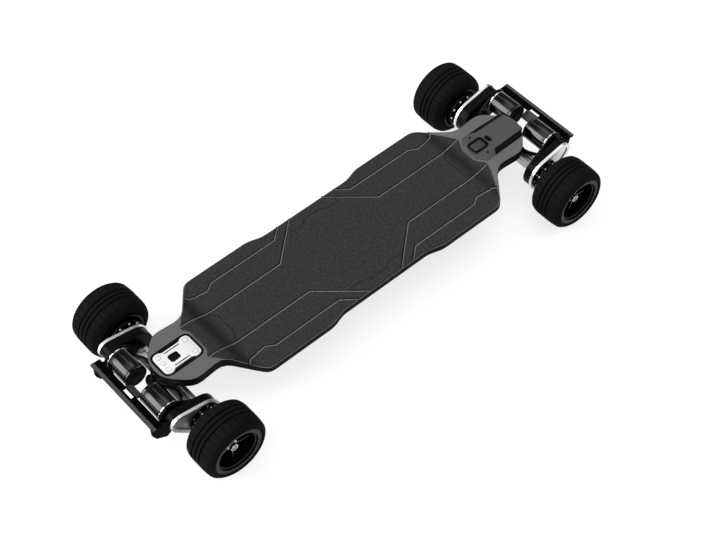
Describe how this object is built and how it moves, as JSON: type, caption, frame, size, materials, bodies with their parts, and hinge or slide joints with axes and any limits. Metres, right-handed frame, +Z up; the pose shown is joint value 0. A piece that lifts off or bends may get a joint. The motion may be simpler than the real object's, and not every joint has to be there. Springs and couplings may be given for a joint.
{
  "type": "electric mountainboard",
  "caption": "Electric mountainboard: waisted deck with raised ends, spring-centred steering trucks, a belt-driven motor at every all-terrain wheel and guards over the motors.",
  "frame": {"origin": "on the ground under the middle of the board", "axes": "+X from the nose to the tail, the end with the power button; +Y to the right of a rider who faces the nose; +Z up"},
  "size_m": [1.194, 0.48, 0.152],
  "materials": {
    "deck_shell": "satin",
    "grip_mat": "matt, fine grained",
    "silver_plate": "satin pearl",
    "console_plastic": "satin",
    "black_plastic": "satin",
    "battery_wrap": "satin",
    "forged_aluminium": "satin",
    "bright_aluminium": "polished",
    "black_casting": "satin",
    "motor_black": "gloss",
    "urethane": "satin",
    "belt_rubber": "matt",
    "tyre_rubber": "matt",
    "hub_black": "satin",
    "steel": "bright"
  },
  "bodies": {
    "board": {"deck": "deck_shell", "grip_mat": "grip_mat", "nose_plate": "silver_plate", "tail_console": "console_plastic", "enclosure": "black_plastic", "battery": "battery_wrap", "motor_controller": "forged_aluminium", "truck_base_nose": "black_casting", "kingpin_nose": "black_casting", "bushing_inner_nose": "urethane", "bushing_outer_nose": "urethane", "truck_base_tail": "black_casting", "kingpin_tail": "black_casting", "bushing_inner_tail": "urethane", "bushing_outer_tail": "urethane"},
    "power_button": {"power_button": "black_plastic"},
    "nose_truck": {"hanger_nose": "forged_aluminium", "motor_guard_nose": "black_casting", "motor_mount_nose_left": "black_casting", "motor_stator_nose_left": "bright_aluminium", "drive_belt_nose_left": "belt_rubber", "belt_cover_nose_left": "black_casting", "cover_plate_nose_left": "bright_aluminium", "axle_nut_nose_left": "steel", "motor_mount_nose_right": "black_casting", "motor_stator_nose_right": "bright_aluminium", "drive_belt_nose_right": "belt_rubber", "belt_cover_nose_right": "black_casting", "cover_plate_nose_right": "bright_aluminium", "axle_nut_nose_right": "steel"},
    "tail_truck": {"hanger_tail": "forged_aluminium", "motor_guard_tail": "black_casting", "motor_mount_tail_left": "black_casting", "motor_stator_tail_left": "bright_aluminium", "drive_belt_tail_left": "belt_rubber", "belt_cover_tail_left": "black_casting", "cover_plate_tail_left": "bright_aluminium", "axle_nut_tail_left": "steel", "motor_mount_tail_right": "black_casting", "motor_stator_tail_right": "bright_aluminium", "drive_belt_tail_right": "belt_rubber", "belt_cover_tail_right": "black_casting", "cover_plate_tail_right": "bright_aluminium", "axle_nut_tail_right": "steel"},
    "nose_left_wheel": {"tyre_nose_left": "tyre_rubber", "hub_nose_left": "hub_black", "wheel_pulley_nose_left": "bright_aluminium"},
    "nose_left_rotor": {"motor_rotor_nose_left": "motor_black"},
    "nose_right_wheel": {"tyre_nose_right": "tyre_rubber", "hub_nose_right": "hub_black", "wheel_pulley_nose_right": "bright_aluminium"},
    "nose_right_rotor": {"motor_rotor_nose_right": "motor_black"},
    "tail_left_wheel": {"tyre_tail_left": "tyre_rubber", "hub_tail_left": "hub_black", "wheel_pulley_tail_left": "bright_aluminium"},
    "tail_left_rotor": {"motor_rotor_tail_left": "motor_black"},
    "tail_right_wheel": {"tyre_tail_right": "tyre_rubber", "hub_tail_right": "hub_black", "wheel_pulley_tail_right": "bright_aluminium"},
    "tail_right_rotor": {"motor_rotor_tail_right": "motor_black"}
  },
  "joints": [
    {"name": "power_button_press", "type": "slide", "parent": "board", "child": "power_button", "axis": [0, 0, -1], "range_m": [0, 0.001], "stiffness_N_per_m": 800},
    {"name": "nose_truck_steer", "type": "hinge", "parent": "board", "child": "nose_truck", "pos_m": [-0.525, 0, 0.104], "axis": [-0.866, 0, 0.5], "range_deg": [-15, 15], "stiffness_Nm_per_rad": 90},
    {"name": "tail_truck_steer", "type": "hinge", "parent": "board", "child": "tail_truck", "pos_m": [0.525, 0, 0.104], "axis": [0.866, 0, 0.5], "range_deg": [-15, 15], "stiffness_Nm_per_rad": 90},
    {"name": "nose_left_wheel_spin", "type": "hinge", "parent": "nose_truck", "child": "nose_left_wheel", "pos_m": [-0.487, -0.192, 0.076], "axis": [0, 1, 0], "continuous": true},
    {"name": "nose_left_motor_spin", "type": "hinge", "parent": "nose_truck", "child": "nose_left_rotor", "pos_m": [-0.543, -0.053, 0.108], "axis": [0, 1, 0], "continuous": true},
    {"name": "nose_right_wheel_spin", "type": "hinge", "parent": "nose_truck", "child": "nose_right_wheel", "pos_m": [-0.487, 0.192, 0.076], "axis": [0, 1, 0], "continuous": true},
    {"name": "nose_right_motor_spin", "type": "hinge", "parent": "nose_truck", "child": "nose_right_rotor", "pos_m": [-0.543, 0.053, 0.108], "axis": [0, 1, 0], "continuous": true},
    {"name": "tail_left_wheel_spin", "type": "hinge", "parent": "tail_truck", "child": "tail_left_wheel", "pos_m": [0.487, -0.192, 0.076], "axis": [0, 1, 0], "continuous": true},
    {"name": "tail_left_motor_spin", "type": "hinge", "parent": "tail_truck", "child": "tail_left_rotor", "pos_m": [0.543, -0.053, 0.108], "axis": [0, 1, 0], "continuous": true},
    {"name": "tail_right_wheel_spin", "type": "hinge", "parent": "tail_truck", "child": "tail_right_wheel", "pos_m": [0.487, 0.192, 0.076], "axis": [0, 1, 0], "continuous": true},
    {"name": "tail_right_motor_spin", "type": "hinge", "parent": "tail_truck", "child": "tail_right_rotor", "pos_m": [0.543, 0.053, 0.108], "axis": [0, 1, 0], "continuous": true}
  ],
  "couplings": [
    {"joint": "nose_left_motor_spin", "follows": "nose_left_wheel_spin", "ratio": 2.4},
    {"joint": "nose_right_motor_spin", "follows": "nose_right_wheel_spin", "ratio": 2.4},
    {"joint": "tail_left_motor_spin", "follows": "tail_left_wheel_spin", "ratio": 2.4},
    {"joint": "tail_right_motor_spin", "follows": "tail_right_wheel_spin", "ratio": 2.4}
  ]
}
